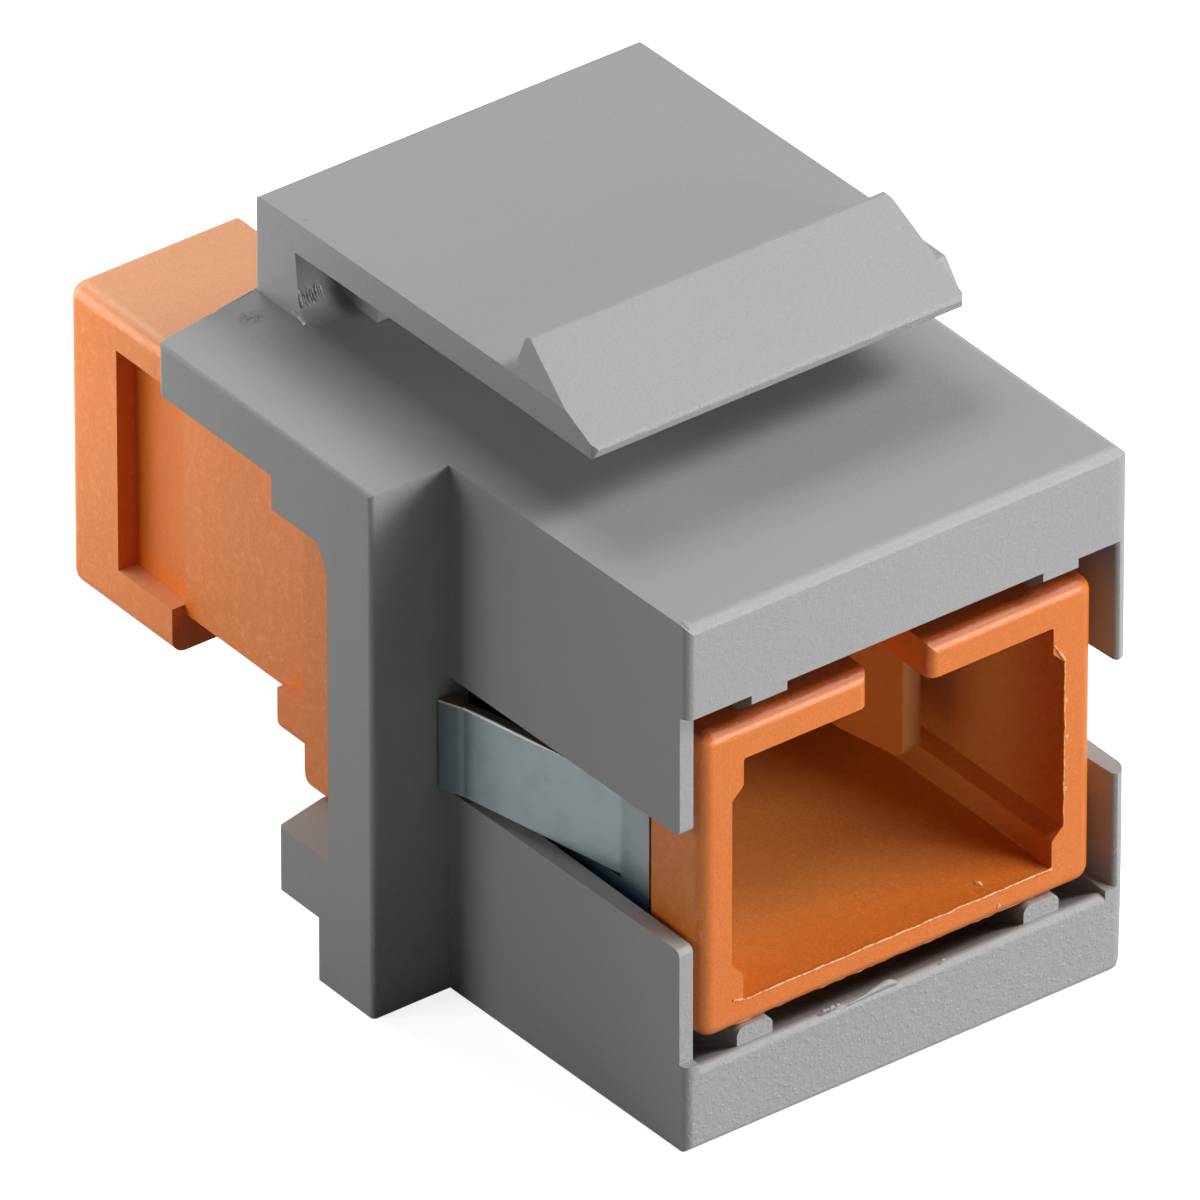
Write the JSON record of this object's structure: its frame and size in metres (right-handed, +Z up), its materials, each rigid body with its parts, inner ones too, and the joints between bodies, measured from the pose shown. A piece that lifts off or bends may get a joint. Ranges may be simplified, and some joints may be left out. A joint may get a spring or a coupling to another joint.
{
  "type": "simplex sc fibre adapter in a keystone housing",
  "caption": "Simplex SC fibre adapter with a socket at each end, held by a steel clip in a snap-in keystone housing with a sprung latch.",
  "frame": {"origin": "on the optical axis, in the middle of the alignment sleeve, at the joint between the adapter's two halves", "axes": "+X to the right seen from the panel side, +Y along the optical axis towards the rear socket, +Z up towards the housing's latch"},
  "size_m": [0.0183, 0.0276, 0.0203],
  "materials": {
    "housing_plastic": "fine matt, moulded",
    "adapter_plastic": "fine matt, moulded",
    "clip_steel": "rolled spring sheet",
    "holder_plastic": "fine matt, moulded",
    "sleeve_bronze": "satin, rolled"
  },
  "bodies": {
    "root": {"keystone_housing": "housing_plastic", "adapter_front_half": "adapter_plastic", "adapter_rear_half": "adapter_plastic", "retention_clip": "clip_steel", "front_sleeve_holder": "holder_plastic", "rear_sleeve_holder": "holder_plastic", "alignment_sleeve": "sleeve_bronze"}
  },
  "joints": []
}
